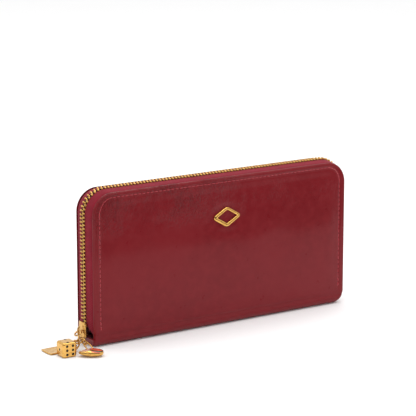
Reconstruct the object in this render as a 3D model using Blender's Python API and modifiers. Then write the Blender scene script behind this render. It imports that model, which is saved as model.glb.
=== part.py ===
"""Zip-around long wallet with a chain of charms, in metres.

+X runs along the wallet's length, -Y is its front, +Z is up. It stands on the flat of its spine, and the
origin is the middle of that flat. The front half and the centre pocket turn about the fold at the
front's foot, the way an accordion wallet fans open.
"""

import math

import bmesh
import bpy
from mathutils import Matrix, Vector

# Driving dimensions
LENGTH = 0.197
HEIGHT = 0.099
THICK = 0.022
TOP_CORNER_R = 0.0145
FOOT_CORNER_R = 0.0085
# The spine's ends: nearly square at the slider's end, round at the other
SPINE_END_R = {-1: 0.003, 1: 0.0095}
LEATHER = 0.0014
GAP = 0.0003
CUT_MARGIN = 0.004

HALF = LENGTH / 2

# The fold that the front half turns about
FOLD_Y = -0.0095
FOLD_Z = 0.003
SPINE_TOP = 0.0054
HALF_FOOT = 0.0062
SPINE_CORNER_R = 0.005

# Layers of one half, as distances from the middle plane: (outer, inner)
COVER_LAYER = (0.011, 0.011 - LEATHER)
BOARD_LAYER = (0.0093, 0.0083)
LINING_LAYER = (0.0074, 0.0068)
STRIP_OUTER = 0.0065
STRIP_THICK = 0.0006
STRIP_STEP = 0.0009
STRIP_COUNT = 4
STRIP_TOP = 0.084
STRIP_TOP_STEP = 0.012
STRIP_FOOT = 0.008
STRIP_HALF_LENGTH = 0.082
BOARD_INSET = 0.003
LINING_INSET = 0.0022
BOARD_FOOT = HALF_FOOT + 0.001
LINING_FOOT = HALF_FOOT + 0.0005
SPINE_BOARD_HALF_WIDTH = 0.0062
SPINE_BOARD_THICK = 0.001
SPINE_BOARD_INSET = 0.012

# Outer zip
TAPE_THICK = 0.0008
TAPE_LAYER = (0.0089, 0.0013)
TOOTH_PITCH = 0.0024
TOOTH_BACK = 0.00295
TOOTH_ROOT = 0.0019
TOOTH_TIP = 0.00055
TOOTH_RISE = (0.0004, 0.0021)
LEFT_ROW_FOOT = 0.0162
RIGHT_ROW_FOOT = 0.0085
STOP_HALF_WIDTH = 0.0028
STOP_INNER = 0.0006
STOP_RISE = (0.0004, 0.0020)
TOP_STOP_FOOT = (0.0063, 0.0084)
BOTTOM_STOP_FOOT = (0.0062, 0.0080)
ARC_STEPS = 10
LOOP_STEPS = 20

# Outer slider, at the left end
SLIDER_FOOT = 0.0046
SLIDER_LENGTH = 0.011
SLIDER_HALF_WIDTH = 0.0043
SLIDER_FLANGE = 0.0009
SLIDER_PLATE = (0.1010, 0.1018)
SLIDER_INNER_PLATE = (0.0964, 0.0974)
SLIDER_FLANGE_TIP = 0.0989
SLIDER_CHAMFER = 0.0006
SLIDER_WEB = 0.00022
# The front flange is open below this height, so that the front half's stop can swing out past it
MOUTH_TOP = 0.0127

# Centre pocket
POCKET_HALF_LENGTH = 0.0935
POCKET_FOOT = 0.0065
POCKET_TOP = 0.078
POCKET_LAYER = (0.0016, 0.0010)
POCKET_TAPE = (0.0004, 0.0028)
POCKET_TAPE_THICK = 0.0006
POCKET_ROW = (0.00045, 0.0018)
POCKET_ROW_FOOT = POCKET_TOP + 0.0012
POCKET_ROW_TOP = POCKET_TOP + 0.0024
POCKET_ZIP_HALF = 0.086
POCKET_STRIP_SIZE = (0.0014, 0.001)
POCKET_SLIDER_X = -0.080
POCKET_SLIDER_HALF = 0.0042
POCKET_SLIDER_WING = 0.0029
POCKET_SLIDER_LIP = 0.0022
POCKET_SLIDER_DROP = 0.0012
POCKET_SLIDER_WEB = 0.00015
POCKET_SLIDER_PLATE = 0.0010
POCKET_SLIDER_TOP = POCKET_ROW_TOP + GAP + POCKET_SLIDER_PLATE

# The pull of the pocket's slider: a tab from its pivot to its round end
PULL_THICK = 0.0008
PULL_LENGTH = 0.0105
PULL_TIP_R = 0.0018
PULL_HEEL_R = 0.0005
PULL_PIVOT_X = POCKET_SLIDER_X - 0.002
PULL_Z = POCKET_SLIDER_TOP + GAP + PULL_THICK / 2

# End gussets, folded flat: the zigzag in plan, as (distance from the middle, y)
GUSSET_THICK = 0.0006
GUSSET_OUT = 0.0948
GUSSET_IN = 0.0862
GUSSET_PATH = (
    (GUSSET_OUT, -0.0062),
    (GUSSET_IN, -0.0042),
    (GUSSET_OUT, -0.0021),
    (GUSSET_OUT, 0.0021),
    (GUSSET_IN, 0.0042),
    (GUSSET_OUT, 0.0062),
)

# Chain, from the slider's bail to the charms. Each link is a wire loop: its middle, the direction across
# its plane, the direction it is long in, its bend radius, and how far each end is drawn out.
WIRE = 0.0005
EYE_WIRE = 0.00045
BAIL_WIRE = 0.00065
BAIL_CENTRE = Vector((-0.1019, -0.0004, 0.0102))
BAIL_REACH = 0.0026
BAIL_HALF_HEIGHT = 0.0029
BAIL_SWEEP = 55
BAIL_STEPS = 12
LINKS = {
    "round_link": ((-0.1047, -0.0010, 0.0087), (0.51, -0.03, -0.86), (-0.83, -0.26, -0.49), 0.0024, 0),
    "long_link": ((-0.1066, -0.0048, 0.0073), (0.88, -0.45, 0.13), (-0.40, -0.86, -0.31), 0.0020, 0.0017),
    "jump_ring": ((-0.1083, -0.0097, 0.0065), (-0.46, 0.08, 0.88), (-0.28, -0.96, -0.06), 0.0032, 0),
    "die_ring": ((-0.1120, -0.0118, 0.0052), (-0.41, 0.89, -0.21), (-0.87, -0.45, -0.21), 0.0020, 0.0008),
    "petal_ring": ((-0.1079, -0.0137, 0.0066), (-0.86, -0.18, -0.48), (0.20, -0.98, 0.0), 0.0024, 0),
    "tag_ring": ((-0.1120, -0.0091, 0.0038), (0.08, 0.97, -0.24), (-0.78, -0.09, -0.62), 0.0026, 0.0006),
}
DIE_EYE = ((-0.1150, -0.0132, 0.0045), (0.28, -0.10, -0.96), (-1.0, 0.0, 0.0), 0.0017, 0)
PETAL_EYE = ((-0.1070, -0.0176, 0.0044), (0.36, 0.40, -0.80), (0.10, -0.906, -0.41), 0.0016, 0.0020)
TAG_EYE = ((-0.1146, -0.0094, 0.0019), (0.62, -0.24, -0.75), (-0.78, -0.09, -0.62), 0.0014, 0)

# Where each joint of the chain turns
PIVOTS = {
    "round_link_swing": (-0.1027, -0.0004, 0.0099),
    "long_link_swing": (-0.1051, -0.0016, 0.00845),
    "jump_ring_swing": (-0.1074, -0.0066, 0.0067),
    "die_swing": (-0.1096, -0.0105, 0.0058),
    "petal_swing": (-0.1084, -0.0113, 0.0066),
    "tag_swing": (-0.1095, -0.0088, 0.0058),
}

# Charms, lying on the ground
DIE_SIDE = 0.0098
DIE_EDGE_R = 0.0011
DIE_CENTRE = Vector((-0.1211, -0.0150, DIE_SIDE / 2))
DIE_TURN = math.radians(-2)
TAG_SIZE = (0.0143, 0.0128, 0.0015)
TAG_CENTRE = Vector((-0.12245, -0.0029, 0.00075))
TAG_EDGE_R = 0.0004
PETAL_LENGTH = 0.0156
PETAL_HEIGHT = 0.0050
PETAL_WIDTH = 0.0105
PETAL_TIP_WIDTH = 0.0006
PETAL_ROUNDNESS = 0.35
PETAL_BULGE = 1 / 1.45
PETAL_CENTRE = Vector((-0.1089, -0.0244, 0.0025))
PETAL_TURN = math.radians(-30)

# Emblem, a plain lozenge frame
EMBLEM_CENTRE = Vector((0.0015, 0, 0.0728))
EMBLEM_HALF = (0.0106, 0.0068)
EMBLEM_BAR = 0.0017
EMBLEM_LAYER = (0.0126, 0.0113)
POST_X = 0.0083
POST_R = 0.0005
POST_HOLE_R = 0.00085
POST_LAYER = (0.0118, 0.0075)
HOLE_LAYER = (0.0130, 0.0076)
WASHER_HALF_WIDTH = 0.0022
WASHER_LAYER = (0.0080, 0.0077)

COLOURS = {
    "red_leather": ((0.225, 0.022, 0.030), 0.32, 0.0),
    "lining_leather": ((0.190, 0.020, 0.030), 0.55, 0.0),
    "board": ((0.52, 0.44, 0.33), 0.85, 0.0),
    "zip_tape": ((0.30, 0.030, 0.060), 0.80, 0.0),
    "brass": ((0.83, 0.58, 0.26), 0.22, 1.0),
}


def clear_scene():
    for old in list(bpy.data.objects):
        bpy.data.objects.remove(old)


def collection(name, is_helper=False):
    made = bpy.data.collections.new(name)
    bpy.context.scene.collection.children.link(made)
    made.hide_render = is_helper
    return made


def material(name):
    made = bpy.data.materials.new(name)
    made.use_nodes = True
    colour, roughness, metallic = COLOURS[name]
    shader = made.node_tree.nodes["Principled BSDF"]
    shader.inputs["Base Color"].default_value = (*colour, 1)
    shader.inputs["Roughness"].default_value = roughness
    shader.inputs["Metallic"].default_value = metallic
    made.diffuse_color = (*colour, 1)
    return made


def put(obj, slot, parent=None):
    """Files a sub-part under the wallet, with a material of its own, and hangs it on its joint's empty."""
    WALLET.objects.link(obj)
    obj.data.materials.clear()
    obj.data.materials.append(material(slot))
    if parent:
        obj.parent = parent
        bpy.context.view_layer.update()
        obj.matrix_parent_inverse = parent.matrix_world.inverted()
    return obj


def joint_empty(name, location):
    empty = bpy.data.objects.new(name, None)
    empty.location = location
    empty.empty_display_size = 0.01
    WALLET.objects.link(empty)
    return empty


# Outlines, in the plane of the covers (x, z)


def arc(cx, cz, radius, start, end, steps=ARC_STEPS):
    angles = (math.radians(start + (end - start) * i / steps) for i in range(steps + 1))
    return [(cx + radius * math.cos(a), cz + radius * math.sin(a)) for a in angles]


def arch(inset, foot):
    """The wallet's outline pulled in by inset, from the left foot over the top to the right foot."""
    top_r = TOP_CORNER_R - inset
    foot_r = FOOT_CORNER_R - inset
    top_x, top_z = HALF - TOP_CORNER_R, HEIGHT - TOP_CORNER_R
    foot_x = HALF - FOOT_CORNER_R
    right = arc(top_x, top_z, top_r, 90, 0)
    if foot < FOOT_CORNER_R:
        drop = math.degrees(math.asin(min(1, (FOOT_CORNER_R - foot) / foot_r)))
        right += arc(foot_x, FOOT_CORNER_R, foot_r, 0, -drop, 5)
    else:
        right.append((HALF - inset, foot))
    left = [(-x, z) for x, z in reversed(right)]
    return left + right


def band(outer_inset, inner_inset, foot):
    return arch(outer_inset, foot) + arch(inner_inset, foot)[::-1]


def rectangle(x0, z0, x1, z1):
    return [(x0, z0), (x1, z0), (x1, z1), (x0, z1)]


def outline_curve(name, outlines, depth):
    """A flat shape in the curve's own XY plane, filled and given a depth."""
    curve = bpy.data.curves.new(name, "CURVE")
    curve.dimensions = "2D"
    curve.fill_mode = "BOTH"
    curve.extrude = depth / 2
    for points in outlines:
        spline = curve.splines.new("POLY")
        spline.points.add(len(points) - 1)
        for point, (x, y) in zip(spline.points, points):
            point.co = (x, y, 0, 1)
        spline.use_cyclic_u = True
    return bpy.data.objects.new(name, curve)


def to_mesh(obj):
    """A curve's solid as a mesh object with welded caps, in the curve's place."""
    bpy.context.scene.collection.objects.link(obj)
    bpy.context.view_layer.update()
    evaluated = obj.evaluated_get(bpy.context.evaluated_depsgraph_get())
    mesh = bpy.data.meshes.new_from_object(evaluated)
    made = bpy.data.objects.new(obj.name, mesh)
    made.matrix_world = obj.matrix_world.copy()
    bm = bmesh.new()
    bm.from_mesh(mesh)
    bmesh.ops.remove_doubles(bm, verts=bm.verts, dist=1e-6)
    bmesh.ops.recalc_face_normals(bm, faces=bm.faces)
    bm.to_mesh(mesh)
    bm.free()
    name = obj.name
    bpy.data.objects.remove(obj)
    made.name = name
    return made


def facing_plate(name, outlines, near, far, slot, parent=None, centre=(0, 0)):
    """A plate parallel to the covers, from y = near to y = far."""
    plate = outline_curve(name, outlines, abs(far - near))
    plate.rotation_euler = (math.radians(90), 0, 0)
    plate.location = (centre[0], (near + far) / 2, centre[1])
    return put(to_mesh(plate), slot, parent)


def standing_strip(name, points, low, high, slot, parent=None):
    """A prism with its outline in plan (x, y), from z = low to z = high."""
    strip = outline_curve(name, [points], high - low)
    strip.location = (0, 0, (low + high) / 2)
    return put(to_mesh(strip), slot, parent)


def end_profile(name, points, half_length, slot, parent=None, centre_x=0.0):
    """A prism with its outline in the end view (y, z), centred on centre_x."""
    profile = outline_curve(name, [points], 2 * half_length)
    profile.rotation_euler = (math.radians(90), 0, math.radians(90))
    profile.location = (centre_x, 0, 0)
    return put(to_mesh(profile), slot, parent)


def helper(obj):
    CUTTERS.objects.link(obj)
    obj.hide_render = True
    obj.display_type = "WIRE"
    return obj


def rod_cutter(name, x, z, radius, layer):
    """A rod through the front of the wallet, between two distances from the middle plane."""
    near, far = -layer[0], -layer[1]
    mesh = bpy.data.meshes.new(name)
    bm = bmesh.new()
    bmesh.ops.create_cone(
        bm, cap_ends=True, segments=12, radius1=radius, radius2=radius, depth=abs(far - near)
    )
    bm.to_mesh(mesh)
    bm.free()
    rod = bpy.data.objects.new(name, mesh)
    rod.rotation_euler = (math.radians(90), 0, 0)
    rod.location = (x, (near + far) / 2, z)
    return helper(rod)


def boolean(obj, other, operation="DIFFERENCE"):
    step = obj.modifiers.new(operation.title(), "BOOLEAN")
    step.object = other
    step.operation = operation
    step.solver = "EXACT"


# Covers, boards and linings


def cover_half(side, parent):
    """The leather cover, its board, its lining and the card strips of one half. side is -1 at the front."""
    half = "front" if side < 0 else "back"
    made = {}
    layers = (
        ("cover", 0, HALF_FOOT, COVER_LAYER, "red_leather"),
        ("board", BOARD_INSET, BOARD_FOOT, BOARD_LAYER, "board"),
        ("lining", LINING_INSET, LINING_FOOT, LINING_LAYER, "lining_leather"),
    )
    for piece, inset, foot, (outer, inner), slot in layers:
        made[piece] = facing_plate(
            f"{half}_{piece}", [arch(inset, foot)], side * outer, side * inner, slot, parent
        )
    for i in range(STRIP_COUNT):
        outer = STRIP_OUTER - i * STRIP_STEP
        top = STRIP_TOP - i * STRIP_TOP_STEP
        shape = rectangle(-STRIP_HALF_LENGTH, STRIP_FOOT, STRIP_HALF_LENGTH, top)
        facing_plate(
            f"{half}_card_strip_{i + 1}",
            [shape],
            side * outer,
            side * (outer - STRIP_THICK),
            "lining_leather",
            parent,
        )
    return made


def spine_profile(thickness, top, reach, floor):
    """A channel in the end view: flat below, round at both corners, open above."""
    corner_y, corner_z = reach - SPINE_CORNER_R, floor + SPINE_CORNER_R
    outer = arc(corner_y, corner_z, SPINE_CORNER_R, 0, -90, 6)
    inner = arc(corner_y, corner_z, SPINE_CORNER_R - thickness, -90, 0, 6)
    right = [(reach, top)] + outer
    left = [(-y, z) for y, z in reversed(right)]
    inner_right = inner + [(reach - thickness, top)]
    inner_left = [(-y, z) for y, z in reversed(inner_right)]
    return right + left + inner_left + inner_right


def spine():
    shell = spine_profile(LEATHER, SPINE_TOP, THICK / 2, 0)
    leather = end_profile("spine_cover", shell, HALF + CUT_MARGIN, "red_leather")
    ends = outline_curve("foot_outline", [foot_outline()], THICK + 2 * CUT_MARGIN)
    ends.rotation_euler = (math.radians(90), 0, 0)
    boolean(leather, helper(to_mesh(ends)), "INTERSECT")
    low = LEATHER + GAP
    reach = SPINE_BOARD_HALF_WIDTH
    strip = rectangle(-reach, low, reach, low + SPINE_BOARD_THICK)
    end_profile("spine_board", strip, HALF - SPINE_BOARD_INSET, "board")


def foot_outline():
    """The lower part of the wallet's outline, from the left end over the flat to the right end."""
    ends = {}
    for side, r in SPINE_END_R.items():
        corner = arc(HALF - r, r, r, -90, 0, 8) + [(HALF, r + CUT_MARGIN)]
        ends[side] = [(side * x, z) for x, z in corner]
    return ends[1] + ends[-1][::-1]


# Outer zip


def zip_stations(left_foot, right_foot, pitch):
    """Points along the zip's path on the wallet's outline, each with the outward direction there."""
    bend_x, bend_z = HALF - TOP_CORNER_R, HEIGHT - TOP_CORNER_R
    quarter = TOP_CORNER_R * math.pi / 2
    left_run, top_run, right_run = bend_z - left_foot, 2 * bend_x, bend_z - right_foot
    total = left_run + top_run + right_run + 2 * quarter
    count = int(total / pitch)
    stations = []
    for i in range(count + 1):
        s = total * i / count
        if s < left_run:
            stations.append(((-HALF, left_foot + s), (-1.0, 0.0)))
            continue
        s -= left_run
        if s < quarter:
            a = math.pi - s / TOP_CORNER_R
            out = (math.cos(a), math.sin(a))
            stations.append(((-bend_x + TOP_CORNER_R * out[0], bend_z + TOP_CORNER_R * out[1]), out))
            continue
        s -= quarter
        if s < top_run:
            stations.append(((-bend_x + s, HEIGHT), (0.0, 1.0)))
            continue
        s -= top_run
        if s < quarter:
            a = math.pi / 2 - s / TOP_CORNER_R
            out = (math.cos(a), math.sin(a))
            stations.append(((bend_x + TOP_CORNER_R * out[0], bend_z + TOP_CORNER_R * out[1]), out))
            continue
        s -= quarter
        stations.append(((HALF, bend_z - s), (1.0, 0.0)))
    return stations


def teeth_row(name, side, parent):
    """One row of teeth: a rail that follows the path, with a tooth reaching to the middle at each pitch."""
    bm = bmesh.new()
    previous = None
    stations = zip_stations(LEFT_ROW_FOOT, RIGHT_ROW_FOOT, TOOTH_PITCH / 2)
    low, high = TOOTH_RISE
    for i, ((x, z), (nx, nz)) in enumerate(stations):
        reach = TOOTH_TIP if i % 2 else TOOTH_ROOT
        corners = ((TOOTH_BACK, low), (TOOTH_BACK, high), (reach, high), (reach, low))
        ring = [bm.verts.new((x + nx * rise, side * y, z + nz * rise)) for y, rise in corners]
        if previous:
            for k in range(4):
                bm.faces.new((previous[k], previous[k - 1], ring[k - 1], ring[k]))
        else:
            bm.faces.new(ring)
        previous = ring
    bm.faces.new(previous[::-1])
    bmesh.ops.recalc_face_normals(bm, faces=bm.faces)
    mesh = bpy.data.meshes.new(name)
    bm.to_mesh(mesh)
    bm.free()
    return put(bpy.data.objects.new(name, mesh), "brass", parent)


def zip_side(side, parent):
    half = "front" if side < 0 else "back"
    facing_plate(
        f"{half}_zip_tape",
        [band(0, TAPE_THICK, HALF_FOOT)],
        side * TAPE_LAYER[0],
        side * TAPE_LAYER[1],
        "zip_tape",
        parent,
    )
    teeth_row(f"{half}_teeth_row", side, parent)
    low, high = TOP_STOP_FOOT
    stop = rectangle(-HALF - STOP_RISE[1], low, -HALF - STOP_RISE[0], high)
    facing_plate(
        f"{half}_top_stop", [stop], side * STOP_HALF_WIDTH, side * STOP_INNER, "brass", parent
    )


def bottom_stop():
    low, high = BOTTOM_STOP_FOOT
    shape = rectangle(HALF + STOP_RISE[0], low, HALF + STOP_RISE[1], high)
    facing_plate("zip_bottom_stop", [shape], -STOP_HALF_WIDTH, STOP_HALF_WIDTH, "brass")


def slider(parent):
    """Two plates joined by a thin web, with a flange on each side that keeps the rows together."""
    outer, face = SLIDER_PLATE[1], SLIDER_PLATE[0]
    half, grip = SLIDER_HALF_WIDTH, SLIDER_HALF_WIDTH - SLIDER_FLANGE
    back_face, back = SLIDER_INNER_PLATE[1], SLIDER_INNER_PLATE[0]
    right = [
        (-outer, half - SLIDER_CHAMFER),
        (-outer + SLIDER_CHAMFER, half),
        (-SLIDER_FLANGE_TIP, half),
        (-SLIDER_FLANGE_TIP, grip),
        (-face, grip),
        (-face, SLIDER_WEB),
        (-back_face, SLIDER_WEB),
        (-back_face, grip),
        (-back, grip),
    ]
    points = right + [(x, -y) for x, y in reversed(right)]
    body = standing_strip(
        "slider_body", points, SLIDER_FOOT, SLIDER_FOOT + SLIDER_LENGTH, "brass", parent
    )
    beyond_tip = SLIDER_FLANGE_TIP - SLIDER_FLANGE
    shape = rectangle(-face, -half - SLIDER_FLANGE, -beyond_tip, -grip)
    mouth = outline_curve("mouth_cutter", [shape], 2 * MOUTH_TOP)
    boolean(body, helper(to_mesh(mouth)))
    bail(parent)


def bail(parent):
    """The loop on the slider's face that the chain hangs from."""
    curve = bpy.data.curves.new("slider_bail", "CURVE")
    curve.dimensions = "3D"
    curve.bevel_depth = BAIL_WIRE
    curve.bevel_resolution = 2
    curve.use_fill_caps = True
    spline = curve.splines.new("POLY")
    turns = [math.radians(BAIL_SWEEP * (1 - 2 * i / BAIL_STEPS)) for i in range(BAIL_STEPS + 1)]
    spline.points.add(len(turns) - 1)
    for point, a in zip(spline.points, turns):
        x = BAIL_CENTRE.x - BAIL_REACH * math.cos(a)
        point.co = (x, BAIL_CENTRE.y, BAIL_CENTRE.z + BAIL_HALF_HEIGHT * math.sin(a), 1)
    put(to_mesh(bpy.data.objects.new("slider_bail", curve)), "brass", parent)


# Card and coin pocket


def coin_pocket(parent):
    wall = rectangle(-POCKET_HALF_LENGTH, POCKET_FOOT, POCKET_HALF_LENGTH, POCKET_TOP)
    for half, side in (("front", -1), ("back", 1)):
        facing_plate(
            f"pocket_{half}_wall",
            [wall],
            side * POCKET_LAYER[0],
            side * POCKET_LAYER[1],
            "lining_leather",
            parent,
        )
        inner, outer = (side * y for y in POCKET_TAPE)
        low = POCKET_TOP + GAP
        tape = rectangle(inner, low, outer, low + POCKET_TAPE_THICK)
        end_profile(f"pocket_{half}_tape", tape, POCKET_HALF_LENGTH - 0.001, "zip_tape", parent)
        inner, outer = (side * y for y in POCKET_ROW)
        row = rectangle(inner, POCKET_ROW_FOOT, outer, POCKET_ROW_TOP)
        end_profile(f"pocket_{half}_teeth", row, POCKET_ZIP_HALF, "brass", parent)
    width, height = POCKET_STRIP_SIZE
    foot = rectangle(-width / 2, POCKET_FOOT, width / 2, POCKET_FOOT + height)
    end_profile("pocket_foot_strip", foot, POCKET_HALF_LENGTH, "lining_leather", parent)


def pocket_slider(parent):
    """A plate over both rows, with a lip down each side and a thin web between the rows."""
    plate_foot = POCKET_SLIDER_TOP - POCKET_SLIDER_PLATE
    lip_foot = plate_foot - POCKET_SLIDER_DROP
    right = [
        (POCKET_SLIDER_WEB, POCKET_TOP + GAP),
        (POCKET_SLIDER_WEB, plate_foot),
        (POCKET_SLIDER_LIP, plate_foot),
        (POCKET_SLIDER_LIP, lip_foot),
        (POCKET_SLIDER_WING, lip_foot),
        (POCKET_SLIDER_WING, POCKET_SLIDER_TOP),
    ]
    points = right + [(-y, z) for y, z in reversed(right)]
    end_profile("pocket_slider", points, POCKET_SLIDER_HALF, "brass", parent, POCKET_SLIDER_X)


def pocket_pull(parent):
    """A tab with a round end, lying along +X from its pivot."""
    tip = arc(PULL_LENGTH, 0, PULL_TIP_R, -90, 90, 8)
    heel = arc(0, 0, PULL_HEEL_R, 90, 270, 8)
    tab = outline_curve("pocket_pull", [tip + heel], PULL_THICK)
    tab.location = (PULL_PIVOT_X, 0, PULL_Z)
    put(to_mesh(tab), "brass", parent)


def gusset(side):
    """An end gusset, which zigzags from the front lining to the pocket and on to the back lining."""
    outside = [(side * x, y) for x, y in GUSSET_PATH]
    inside = [(side * (x - GUSSET_THICK), y) for x, y in reversed(GUSSET_PATH)]
    name = "gusset_left" if side < 0 else "gusset_right"
    standing_strip(name, outside + inside, STRIP_FOOT, POCKET_TOP, "lining_leather")


# Emblem


def lozenge(half_x, half_z):
    return [(-half_x, 0), (0, -half_z), (half_x, 0), (0, half_z)]


def emblem(made, parent):
    """A lozenge frame with two posts that pass through the cover and board into a washer."""
    half_x, half_z = EMBLEM_HALF
    slope = math.hypot(half_x, half_z) / half_z
    inner_x = half_x - EMBLEM_BAR * slope
    inner_z = inner_x * half_z / half_x
    centre = (EMBLEM_CENTRE.x, EMBLEM_CENTRE.z)
    frame = facing_plate(
        "emblem",
        [lozenge(half_x, half_z), lozenge(inner_x, inner_z)],
        -EMBLEM_LAYER[0],
        -EMBLEM_LAYER[1],
        "brass",
        parent,
        centre,
    )
    washer = facing_plate(
        "emblem_washer",
        [rectangle(-half_x, -WASHER_HALF_WIDTH, half_x, WASHER_HALF_WIDTH)],
        -WASHER_LAYER[0],
        -WASHER_LAYER[1],
        "brass",
        parent,
        centre,
    )
    for side in (-1, 1):
        x = EMBLEM_CENTRE.x + side * POST_X
        post = rod_cutter(f"post_{side}", x, EMBLEM_CENTRE.z, POST_R, POST_LAYER)
        boolean(frame, post, "UNION")
        hole = rod_cutter(f"hole_{side}", x, EMBLEM_CENTRE.z, POST_HOLE_R, HOLE_LAYER)
        for piece in (made["cover"], made["board"], washer):
            boolean(piece, hole)


# Chain and charms


def wire_loop(name, centre, normal, along, radius, stretch, wire=WIRE):
    """A closed wire loop in the plane across normal, drawn out both ways along a direction."""
    normal = Vector(normal).normalized()
    first = Vector(along)
    first = (first - normal * first.dot(normal)).normalized()
    second = normal.cross(first)
    curve = bpy.data.curves.new(name, "CURVE")
    curve.dimensions = "3D"
    curve.bevel_depth = wire
    curve.bevel_resolution = 2
    spline = curve.splines.new("POLY")
    spline.points.add(LOOP_STEPS - 1)
    for i, point in enumerate(spline.points):
        a = math.tau * (i + 0.5) / LOOP_STEPS
        shift = math.copysign(stretch, math.cos(a))
        place = Vector(centre) + first * (radius * math.cos(a) + shift) + second * radius * math.sin(a)
        point.co = (*place, 1)
    spline.use_cyclic_u = True
    return to_mesh(bpy.data.objects.new(name, curve))


def hang_link(name, parent):
    put(wire_loop(name, *LINKS[name]), "brass", parent)


def bevelled(obj, width, segments):
    step = obj.modifiers.new("Bevel", "BEVEL")
    step.width = width
    step.segments = segments
    step.limit_method = "ANGLE"


def block(name, size, centre, turn=0.0):
    mesh = bpy.data.meshes.new(name)
    bm = bmesh.new()
    bmesh.ops.create_cube(bm, size=1, matrix=Matrix.Diagonal((*size, 1)))
    bmesh.ops.rotate(bm, verts=bm.verts, matrix=Matrix.Rotation(turn, 3, "Z"))
    bmesh.ops.translate(bm, verts=bm.verts, vec=centre)
    bm.to_mesh(mesh)
    bm.free()
    return bpy.data.objects.new(name, mesh)


def add_eye(charm, eye):
    """Solders a wire eye to a charm."""
    loop = wire_loop(f"{charm.name}_eye", *eye, wire=EYE_WIRE)
    boolean(charm, helper(loop), "UNION")


def die(parent):
    made = block("die_charm", (DIE_SIDE, DIE_SIDE, DIE_SIDE), DIE_CENTRE, DIE_TURN)
    bevelled(made, DIE_EDGE_R, 3)
    add_eye(made, DIE_EYE)
    put(made, "brass", parent)


def tag(parent):
    made = block("tag_charm", TAG_SIZE, TAG_CENTRE)
    bevelled(made, TAG_EDGE_R, 2)
    add_eye(made, TAG_EYE)
    put(made, "brass", parent)


def petal_width(along):
    """The petal's width at a share of its length, from its pointed tip to its round end."""
    bulge = math.sqrt(along) * (1 - along) ** PETAL_ROUNDNESS
    return PETAL_TIP_WIDTH + PETAL_WIDTH * bulge / PETAL_BULGE


def petal(parent):
    """A drop-shaped pebble of brass, pointed at one tip."""
    mesh = bpy.data.meshes.new("petal_charm")
    bm = bmesh.new()
    bmesh.ops.create_uvsphere(
        bm, u_segments=10, v_segments=16, radius=0.5, matrix=Matrix.Rotation(math.pi / 2, 4, "Y")
    )
    for v in bm.verts:
        along = v.co.x + 0.5
        round_half = math.sqrt(max(1e-9, 0.25 - v.co.x**2))
        y = v.co.y / round_half * petal_width(min(along, 1.0)) / 2 if round_half > 1e-3 else 0.0
        v.co = Vector((v.co.x * PETAL_LENGTH, y, v.co.z * PETAL_HEIGHT))
    bmesh.ops.rotate(bm, verts=bm.verts, matrix=Matrix.Rotation(PETAL_TURN, 3, "Z"))
    bmesh.ops.translate(bm, verts=bm.verts, vec=PETAL_CENTRE)
    bm.to_mesh(mesh)
    bm.free()
    made = bpy.data.objects.new("petal_charm", mesh)
    add_eye(made, PETAL_EYE)
    put(made, "brass", parent)


def charms(slider_travel):
    """The chain, one empty for each joint, from the slider down to the three charms."""
    above = slider_travel
    swing = {}
    for joint, place in PIVOTS.items():
        swing[joint] = joint_empty(joint, place)
        swing[joint].parent = above
        swing[joint].matrix_parent_inverse = above.matrix_world.inverted()
        bpy.context.view_layer.update()
        if joint in ("round_link_swing", "long_link_swing", "jump_ring_swing"):
            above = swing[joint]
    for link in ("round_link", "long_link", "jump_ring"):
        hang_link(link, swing[f"{link}_swing"])
    for charm, make in (("die", die), ("petal", petal), ("tag", tag)):
        hang_link(f"{charm}_ring", swing[f"{charm}_swing"])
        make(swing[f"{charm}_swing"])


def build():
    front_fold = joint_empty("front_fold", (0, FOLD_Y, FOLD_Z))
    pocket_fold = joint_empty("pocket_fold", (0, FOLD_Y, FOLD_Z))
    cover_half(1, None)
    front = cover_half(-1, front_fold)
    spine()
    zip_side(1, None)
    zip_side(-1, front_fold)
    bottom_stop()
    gusset(-1)
    gusset(1)
    coin_pocket(pocket_fold)
    pocket_slider(pocket_fold)
    pocket_pull(pocket_fold)
    emblem(front, front_fold)
    slider_travel = joint_empty("slider_travel", (-HALF, 0, SLIDER_FOOT))
    slider(slider_travel)
    charms(slider_travel)


clear_scene()
WALLET = collection("long_wallet")
CUTTERS = collection("cutters", is_helper=True)
build()
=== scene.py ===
"""Looks for the long zip-around wallet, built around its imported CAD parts. Metres, in the CAD's frame.

-Y is the front, the slider is at the -X end, and the wallet stands on the flat of its spine at z = 0.
"""

import math
import random

import bmesh
import bpy
from mathutils import Matrix, Vector, noise


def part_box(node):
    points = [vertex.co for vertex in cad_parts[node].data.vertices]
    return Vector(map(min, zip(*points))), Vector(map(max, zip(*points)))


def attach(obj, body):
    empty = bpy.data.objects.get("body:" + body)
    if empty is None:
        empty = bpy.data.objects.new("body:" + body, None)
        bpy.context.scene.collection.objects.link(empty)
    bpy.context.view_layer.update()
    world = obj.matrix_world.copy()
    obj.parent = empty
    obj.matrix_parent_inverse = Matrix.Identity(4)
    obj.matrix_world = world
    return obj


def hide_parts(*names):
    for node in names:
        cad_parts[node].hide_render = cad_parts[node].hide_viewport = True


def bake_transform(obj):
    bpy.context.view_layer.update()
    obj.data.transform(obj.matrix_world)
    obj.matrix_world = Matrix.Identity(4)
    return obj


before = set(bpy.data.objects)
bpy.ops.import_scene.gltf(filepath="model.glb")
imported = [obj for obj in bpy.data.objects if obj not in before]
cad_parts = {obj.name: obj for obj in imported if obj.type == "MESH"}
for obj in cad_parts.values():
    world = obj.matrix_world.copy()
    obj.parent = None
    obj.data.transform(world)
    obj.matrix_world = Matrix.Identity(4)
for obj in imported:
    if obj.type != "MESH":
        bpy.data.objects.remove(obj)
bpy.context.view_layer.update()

MM = 0.001

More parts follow.
